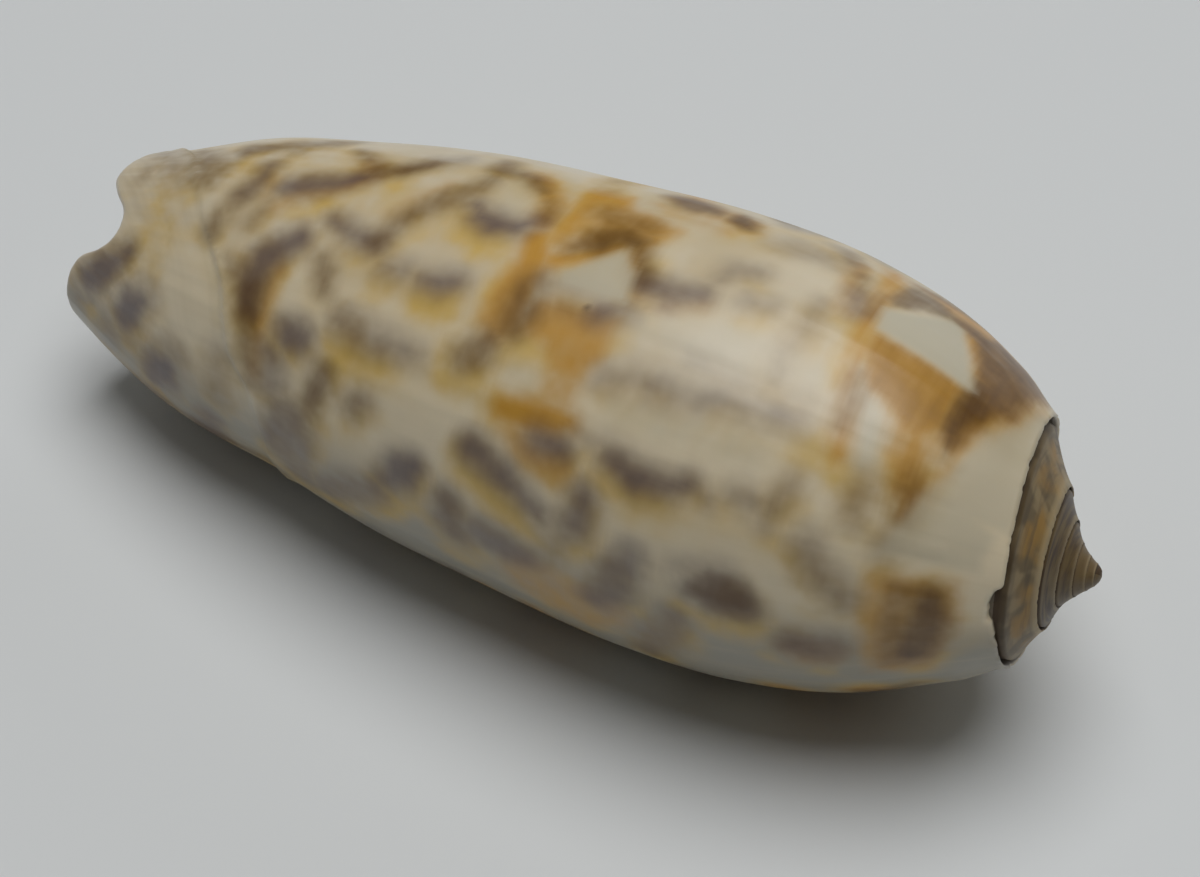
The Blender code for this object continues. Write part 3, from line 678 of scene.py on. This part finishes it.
# The far side and the belly carry the same pattern, scattered over a loose grid. Two bands hold
# amber and umber marks only.
BANDS = [(33.0, 42.0), (55.0, 65.0)]
SCATTER_ANGLES = [*range(48, 138, 12), *range(-134, -206, -12)]
SCATTER_SPACING = 5.0
SCATTER_END = 64.0
UMBER_CHANCE = 0.35
VIOLET_CHANCE = 0.75      # of the places that umber leaves
chance = np.random.default_rng(11)
for row_at in SCATTER_ANGLES:
    for spot in np.arange(SCATTER_SPACING, SCATTER_END, SCATTER_SPACING):
        x = spot + chance.uniform(-1.8, 1.8)
        angle = row_at + chance.uniform(-4.0, 4.0)
        size = chance.uniform(0.5, 1.2)
        bend = chance.uniform(1.0, 7.0)
        lean = chance.uniform(-5.0, 7.0)
        stroke = [(x - 1.7 * size, angle + bend, 0.6 * size), (x, angle, size),
                  (x + 1.9 * size, angle + lean, 0.6 * size)]
        banded = any(first <= x <= last for first, last in BANDS)
        strength = chance.uniform(0.5, 0.95)
        if banded:
            AMBER.append((0.8, [(x - 1.2, angle + 7.0, size), (x + 0.6, angle - 6.0, size + 0.2)]))
        if banded or chance.random() < UMBER_CHANCE:
            UMBER.append((strength, stroke))
        elif chance.random() < VIOLET_CHANCE:
            VIOLET.append((strength, stroke))

LEAST_RADIUS = 3.0        # nearer the axis than this, marks keep their width as an angle


def to_segment(x0, a0, x1, a1, x, arc, per_degree):
    """Distance to the segment between two (x, angle) places, and the share of it gone by."""
    dx, da = x1 - x0, (a1 - a0) * per_degree
    u, v = x - x0, (arc - a0) * per_degree
    share = np.clip((u * dx + v * da) / (dx * dx + da * da + 1e-9), 0.0, 1.0)
    return np.hypot(u - share * dx, v - share * da), share


def stroke_depth(path, x, arc, per_degree):
    """How far each place lies inside a stroke of varying width, in millimetres."""
    depth = np.full_like(x, -np.inf)
    for (x0, a0, w0), (x1, a1, w1) in zip(path, path[1:]):
        away, share = to_segment(x0, a0, x1, a1, x, arc, per_degree)
        depth = np.maximum(depth, w0 + (w1 - w0) * share - away)
    return depth


def tent_depth(outline_at, x, arc, per_degree):
    """How far each place lies inside a many-cornered mark, in millimetres."""
    near = np.full_like(x, np.inf)
    inside = np.zeros(x.shape, bool)
    for (x0, a0), (x1, a1) in zip(outline_at, outline_at[1:] + outline_at[:1]):
        away, share = to_segment(x0, a0, x1, a1, x, arc, per_degree)
        near = np.minimum(near, away)
        if a0 != a1:
            side = x - x0 < (x1 - x0) * (arc - a0) / (a1 - a0)
            inside ^= ((a0 > arc) != (a1 > arc)) & side
    return np.where(inside, near, -near)


def cover(strokes, tents, soft, tent_soft):
    """How strongly a colour covers each point of the last turn, from 0 to 1."""
    covered = np.zeros(len(x_at))
    here = angle_at >= START
    x, arc = x_at[here], angle_at[here]
    per_degree = np.radians(np.maximum(radius_at[here], LEAST_RADIUS))
    best = np.zeros(len(x))
    for strength, path in strokes:
        depth = stroke_depth(path, x, arc, per_degree)
        best = np.maximum(best, strength * ease(0.5 + depth / soft))
    for strength, outline_at in tents:
        depth = tent_depth(outline_at, x, arc, per_degree)
        best = np.maximum(best, strength * ease(0.5 + depth / tent_soft))
    covered[here] = best
    return covered


def rising(values, start, stretch):
    """Smooth step from 0 at start to 1 a stretch further on."""
    return ease((values - start) / stretch)


def note_down(name, values):
    """Stores one number for each point of the shell."""
    layer = shell_mesh.attributes.new(name, "FLOAT", "POINT")
    layer.data.foreach_set("value", np.asarray(values, np.float32))


def shifted(strokes, angle, wider, share):
    """Strokes moved along the direction of growth, widened and weakened."""
    return [(strength * share, [(x, at + angle, half + wider) for x, at, half in path])
            for strength, path in strokes]


# Ochre shows round the darker marks, and more on the side that grew first.
halo = (shifted(VIOLET, -5.0, 0.7, 0.9) + shifted(UMBER, -2.0, 0.9, 0.9)
        + shifted(AMBER, 0.0, 0.8, 0.85))
# Strokes and tents of each colour, and how soft their edges are in millimetres.
MARKS = {
    "violet": (shifted(VIOLET, 0.0, 0.15, 0.95), [], 2.5, 1.0),
    "umber": (UMBER, UMBER_TENTS, 2.0, 1.3),
    "amber": (AMBER, AMBER_TENTS, 1.8, 1.6),
    "ochre": (OCHRE, [], 3.0, 1.0),
    "fringe": (halo, [], 2.6, 1.0),
    "pale": (PALE, [], 1.8, 1.0),
    "tents": ([], PALE_TENTS, 1.0, 1.0),
    "speck": (SPECK, [], 0.3, 1.0),
}
for mark, parts in MARKS.items():
    note_down(mark, cover(*parts))

# The groove is darkened: on its wall, partly its own brown and partly painted shade, and with
# painted shade where the next turn dips down into it. Each pair is where a change starts, and the
# stretch that it takes.
WALL_BROWN_AND_SHADE = (0.15, 0.3)
DIP_SHADE = (0.86, 0.1)
FLANK_FROM = (28, 20)     # the near side, in degrees down from the top, where the ground is painted lighter as lit
FLANK_TO = (78, 20)
BELLY_FROM = (80, 28)     # the part under it, where the ground is painted darker as shade
BELLY_TO = (128, 22)
BAND_EDGE = (-0.35, 0.7)
RIM_REACH = 0.12          # share of the band that is rim: this on the last turn,
OLDER_RIM_MORE = 0.1      # and this much more on the older ones
SKIN_RADIUS = 12.0        # radius at which the shell's skin is laid out flat
turns_at = (START - angle_at) / TURN
wall_at = wall_side * rising(across_at, *WALL_BROWN_AND_SHADE)
dip_at = (1 - wall_side) * rising(across_at, *DIP_SHADE)
groove_brown_and_shade_at = np.maximum(wall_at, dip_at * (turns_at > 0)) * (turns_at < SPIRE_TURNS - 0.5)
rim_share = RIM_REACH + OLDER_RIM_MORE * (turns_at > 0)
border_at = curve(BAND_BORDER, np.clip(angle_at, START, LIP_ANGLE))
on_band = rising(border_at - x_at, *BAND_EDGE)

note_down("inside", inside_at)
note_down("across", across_at)
note_down("turns", turns_at)
note_down("beside", border_at - x_at)
# Where the underside is painted darker, as shade.
note_down("belly", rising(-angle_at, *BELLY_FROM) * (1 - rising(-angle_at, *BELLY_TO)))
# Where the near side is painted lighter, as lit.
note_down("lit_flank", rising(-angle_at, *FLANK_FROM) * (1 - rising(-angle_at, *FLANK_TO)))
note_down("front_band", np.where(angle_at >= START, on_band, 0.0))
# Where the groove is darkened: partly its own brown, partly painted shade.
note_down("groove", groove_brown_and_shade_at)
note_down("rim", ease(1 - across_at / rim_share) * (groove_brown_and_shade_at < 0.01))
skin_at = np.stack([x_at, np.radians(angle_at) * SKIN_RADIUS, radius_at], -1)
skin_layer = shell_mesh.attributes.new("skin", "FLOAT_VECTOR", "POINT")
skin_layer.data.foreach_set("vector", skin_at.astype(np.float32).ravel())


# ------------------------ the glaze
# Polished aragonite: a smooth, hard gloss over a faintly cloudy ground, with growth lines too
# fine to feel. The spire and the groove are duller, and the groove is darkened, partly its own
# brown and partly painted shade.
class Wire:
    """One output of a shader node; arithmetic on wires adds the Math nodes it needs."""

    def __init__(self, socket):
        self.socket = socket

    @staticmethod
    def node(tree, kind, settings, sockets, output=0):
        """Any node: its settings first, then its sockets' values or links."""
        made = tree.nodes.new(kind)
        for name, value in settings.items():
            setattr(made, name, value)
        for name, value in sockets.items():
            if isinstance(value, Wire):
                tree.links.new(value.socket, made.inputs[name])
            else:
                made.inputs[name].default_value = value
        return Wire(made.outputs[output]) if made.outputs else None

    def math(self, operation, a, b=0.0, clamp=False):
        """A Math node on two values, which are wires or numbers."""
        settings = {"operation": operation, "use_clamp": clamp}
        return Wire.node(self.socket.id_data, "ShaderNodeMath", settings, {0: a, 1: b})

    def __add__(self, other):
        return self.math("ADD", self, other)

    def __sub__(self, other):
        return self.math("SUBTRACT", self, other)

    def __rsub__(self, other):
        return self.math("SUBTRACT", other, self)

    def __mul__(self, other):
        return self.math("MULTIPLY", self, other)

    __radd__ = __add__
    __rmul__ = __mul__

    def clamped(self):
        return self.math("ADD", self, 0.0, clamp=True)

    def step(self, low, high):
        """Smooth step of this value from 0 at low to 1 at high."""
        settings = {"interpolation_type": "SMOOTHSTEP"}
        sockets = {"Value": self, "From Min": low, "From Max": high}
        return Wire.node(self.socket.id_data, "ShaderNodeMapRange", settings, sockets)


GROUND = (0.70, 0.615, 0.455, 1.0)
GROUND_DUSKY = (0.64, 0.54, 0.365, 1.0)
GROUND_FRONT = (0.67, 0.585, 0.43, 1.0)
# Painted light: the near side's ground, lighter where the light falls on it.
FLANK_LIGHT_TINT = (0.84, 0.73, 0.52, 1.0)
# Painted shade: the ground under the shell, darker where it lies in shade.
BELLY_SHADE_TINT = (0.36, 0.335, 0.27, 1.0)
FRONT_STREAK = (0.40, 0.33, 0.23, 1.0)
OCHRE_TINT = (0.655, 0.435, 0.088, 1.0)
AMBER_TINT = (0.565, 0.295, 0.04, 1.0)
UMBER_TINT = (0.12, 0.054, 0.007, 1.0)
VIOLET_TINT = (0.106, 0.077, 0.092, 1.0)
PALE_TINT = (0.60, 0.555, 0.43, 1.0)
TENT_TINT = (0.545, 0.50, 0.375, 1.0)
SPIRE_TINT = (0.15, 0.10, 0.034, 1.0)
SPIRE_TAN = (0.29, 0.21, 0.095, 1.0)
SPIRE_AMBER = (0.32, 0.175, 0.025, 1.0)
SPIRE_DARK = (0.055, 0.036, 0.014, 1.0)
CONE_TINT = (0.065, 0.038, 0.018, 1.0)
TIP_TINT = (0.16, 0.108, 0.045, 1.0)
RIM_TINT = (0.46, 0.36, 0.20, 1.0)
# Dark tint for the small speck of dirt and for the painted shade in the groove.
DIRT_AND_SHADE_TINT = (0.06, 0.032, 0.013, 1.0)
LINING_TINT = (0.74, 0.62, 0.46, 1.0)

glaze = bpy.data.materials.new("shell_glaze")
glaze.use_nodes = True
tree = glaze.node_tree
tree.nodes.clear()


def attribute(name, output="Fac"):
    return Wire.node(tree, "ShaderNodeAttribute", {"attribute_name": name}, {}, output)


def noise(vector, scale, detail, roughness=0.5):
    sockets = {"Vector": vector, "Scale": scale, "Detail": detail, "Roughness": roughness}
    return Wire.node(tree, "ShaderNodeTexNoise", {}, sockets)


def streaks(amounts, scale=1.0, detail=2.0):
    """Noise over the skin, drawn out along the directions whose amount is small."""
    sockets = {0: skin, 1: amounts}
    drawn_out = Wire.node(tree, "ShaderNodeVectorMath", {"operation": "MULTIPLY"}, sockets)
    return noise(drawn_out, scale, detail)


def mixed(factor, under, over):
    """One colour laid over another, through the Mix node's colour sockets."""
    sockets = {"Factor": factor, 6: under, 7: over}
    return Wire.node(tree, "ShaderNodeMix", {"data_type": "RGBA"}, sockets, 2)


skin = attribute("skin", "Vector")
along = Wire.node(tree, "ShaderNodeSeparateXYZ", {}, {"Vector": skin}, "X")
round_it = Wire.node(tree, "ShaderNodeSeparateXYZ", {}, {"Vector": skin}, "Y")
back_half = along.step(50.0, 56.0) * round_it.step(-13.0, -10.0)
cloud = noise(skin, 0.16, 3.0)
mottle = noise(skin, 0.45, 2.0)
patchy = noise(skin, 0.22, 2.0).step(0.38, 0.58)
grain = noise(skin, 2.4, 3.0, 0.6)
growth = streaks((0.12, 0.9, 0.0))
spiral = streaks((1.1, 0.12, 0.0))


def ragged(name, wobble, lines, streak):
    """A colour's cover with an uneven, cloudy edge that is drawn out along some lines."""
    amount = attribute(name)
    edge = amount * (1.1 - amount) * 4.0  # greatest half way through
    uneven = (mottle - 0.5) * wobble + (lines - 0.5) * streak
    return (amount + edge * uneven).clamped()


# The ground is cream, with streaks on the front band. It is painted brighter on the near side as
# light, and darker under it as shade.
ground = mixed(cloud.step(0.35, 0.65), GROUND, GROUND_DUSKY)
beside_at = {"X": attribute("beside"), "Y": along * 0.06}
beside = Wire.node(tree, "ShaderNodeCombineXYZ", {}, beside_at)
front = mixed(noise(beside, 0.9, 1.0).step(0.35, 0.75) * 0.3, GROUND_FRONT, FRONT_STREAK)
ground = mixed(attribute("front_band"), ground, front)
# Painted light: the near side is made lighter.
ground = mixed(attribute("lit_flank") * 0.6, ground, FLANK_LIGHT_TINT)
# Painted shade: the part under the shell is made darker.
ground = mixed(attribute("belly"), ground, BELLY_SHADE_TINT)
ground = mixed(growth.step(0.45, 0.75) * 0.18, ground, GROUND_DUSKY)

# The marks in the order they lie in: how uneven the edge is, the lines that draw it out and how
# far, the strength, and the tint.
LAYERS = [
    ("fringe", 1.1, growth, 0.12, 0.25 + patchy * 0.6, OCHRE_TINT),
    ("ochre", 1.1, growth, 0.12, 0.8, OCHRE_TINT),
    ("pale", 0.6, growth, 0.12, 0.85, PALE_TINT),
    ("amber", 0.7, spiral, back_half * 0.7 + 0.1, 1.0, AMBER_TINT),
    ("violet", 0.6, growth, 0.12, 0.88, VIOLET_TINT),
    ("umber", 0.6, spiral, back_half * 0.25 + 0.1, 1.0, UMBER_TINT),
    ("tents", 0.25, growth, 0.1, 1.0, TENT_TINT),
]
coat = ground
for mark, wobble, lines, streak, strength, tint in LAYERS:
    coat = mixed(ragged(mark, wobble, lines, streak) * strength, coat, tint)
coat = mixed(attribute("speck"), coat, DIRT_AND_SHADE_TINT)

# The band inside the last groove is brown with amber patches. The older turns are darker, and a
# little lighter again at the tip.
turns = attribute("turns")
across = attribute("across")
on_spire = turns.step(0.0, 0.02)
spire_cloud = streaks((0.5, 0.3, 0.5))
spire_mottle = streaks((0.55, 0.25, 0.55), 0.9, 1.0)
spire_lines = streaks((2.0, 0.15, 2.0))
fine_rings = streaks((0.0, 0.1, 4.0))
whorl = mixed(spire_cloud.step(0.42, 0.62), SPIRE_TINT, SPIRE_TAN)
whorl = mixed(spire_mottle.step(0.42, 0.66) * (1 - across.step(0.5, 0.85)), whorl, SPIRE_AMBER)
whorl = mixed(spire_lines.step(0.4, 0.7) * 0.45, whorl, SPIRE_DARK)
# Painted shade: the band darkens where it drops into the next groove.
whorl = mixed(across.step(0.62, 0.95) * 0.45, whorl, SPIRE_DARK)
cone = mixed(fine_rings.step(0.35, 0.65), CONE_TINT, SPIRE_TINT)
cone = mixed(turns.step(2.0, 3.4) * (0.6 + fine_rings * 0.6), cone, TIP_TINT)
coat = mixed(on_spire, coat, mixed(turns.step(0.95, 1.05), whorl, cone))
rim_strength = on_spire * (0.85 - turns.step(0.8, 1.6) * 0.45)
coat = mixed(attribute("rim") * rim_strength, coat, RIM_TINT)
# Groove darkening: partly the wall's own brown, partly painted shade.
coat = mixed(attribute("groove") * 0.8, coat, DIRT_AND_SHADE_TINT)
coat = mixed(attribute("inside").step(0.3, 0.8), coat, LINING_TINT)

shine = 0.34 + (mottle - 0.5) * 0.12 + attribute("groove") * 0.3 + turns.step(0.0, 0.1) * 0.2
bump_height = growth * 0.5 + spiral * 0.25 + grain * 0.25
bump = Wire.node(tree, "ShaderNodeBump", {}, {"Strength": 0.35, "Distance": 0.00004,
                                              "Height": bump_height})
surface = Wire.node(tree, "ShaderNodeBsdfPrincipled", {}, {
    "Base Color": coat, "Roughness": shine, "Normal": bump, "Metallic": 0.0, "IOR": 1.53,
    "Coat Weight": 0.15, "Coat Roughness": 0.2, "Subsurface Weight": 0.06,
    "Subsurface Radius": (1.0, 0.6, 0.35), "Subsurface Scale": 0.001})
Wire.node(tree, "ShaderNodeOutputMaterial", {}, {"Surface": surface})

shell_mesh.materials.append(glaze)
olive_shell = bpy.data.objects.new("olive_shell", shell_mesh)
bpy.context.scene.collection.objects.link(olive_shell)
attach(olive_shell, "root")
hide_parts("shell")


# ------------------------ floor, light and camera
# A plain pale table under a large overhead softbox, with a weaker one behind and a faint one at
# the front left. The room adds a little light from all round.
TABLE_REACH = 2.0
TABLE_TINT = (0.715, 0.745, 0.765, 1.0)
TABLE_ROUGHNESS = 0.6
WARM_WHITE = (1.0, 0.985, 0.96)
COOL_WHITE = (0.93, 0.97, 1.0)
ROOM_TINT = (0.93, 0.96, 1.0, 1.0)
ROOM_STRENGTH = 0.03

table = bpy.data.materials.new("pale_table")
table.use_nodes = True
shader = table.node_tree.nodes["Principled BSDF"]
shader.inputs["Base Color"].default_value = TABLE_TINT
shader.inputs["Roughness"].default_value = TABLE_ROUGHNESS
floor_mesh = bpy.data.meshes.new("floor")
floor_corners = [(TABLE_REACH * x, TABLE_REACH * y, low[2])
                 for x, y in ((-1, -1), (1, -1), (1, 1), (-1, 1))]
floor_mesh.from_pydata(floor_corners, [], [(0, 1, 2, 3)])
floor_mesh.materials.append(table)
floor = bpy.data.objects.new("floor", floor_mesh)
bpy.context.scene.collection.objects.link(floor)


def softbox(name, place_at, size, watts, colour):
    """A round area light that points at the middle of the table."""
    lamp = bpy.data.lights.new(name, "AREA")
    lamp.shape = "DISK"
    lamp.size = size
    lamp.energy = watts
    lamp.color = colour
    box = bpy.data.objects.new(name, lamp)
    box.location = place_at
    box.rotation_euler = (-Vector(place_at)).to_track_quat("-Z", "Y").to_euler()
    bpy.context.scene.collection.objects.link(box)


softbox("overhead", (0.0, 0.10, 0.85), 0.75, 5.45, WARM_WHITE)
softbox("window", (-0.42, -0.42, 0.75), 0.5, 0.3, WARM_WHITE)
softbox("backdrop", (0.1, 1.1, 0.45), 0.9, 1.4, COOL_WHITE)

world = bpy.data.worlds.new("room")
world.use_nodes = True
room = world.node_tree.nodes["Background"].inputs
room["Color"].default_value = ROOM_TINT
room["Strength"].default_value = ROOM_STRENGTH
bpy.context.scene.world = world
bpy.context.scene.view_settings.view_transform = "Standard"

# The camera looks down from the near side, a little towards the spire's end.
CAMERA_PLACE = (0.074518, -0.151441, 0.196842)
CAMERA_AIM = (0.002473, -0.002098, 0.011449)
CAMERA_ROLL = 2.467       # degrees
CAMERA_LENS = 113.65      # mm
SENSOR_WIDTH = 36.0
view = bpy.data.cameras.new("view")
view.sensor_width = SENSOR_WIDTH
view.lens = CAMERA_LENS
view.clip_start = 0.01
view.dof.use_dof = False
camera = bpy.data.objects.new("view", view)
sight = (Vector(CAMERA_AIM) - Vector(CAMERA_PLACE)).to_track_quat("-Z", "Y").to_matrix()
sight = sight @ Matrix.Rotation(math.radians(CAMERA_ROLL), 3, "Z")
camera.matrix_world = Matrix.Translation(CAMERA_PLACE) @ sight.to_4x4()
bpy.context.scene.collection.objects.link(camera)
bpy.context.scene.camera = camera
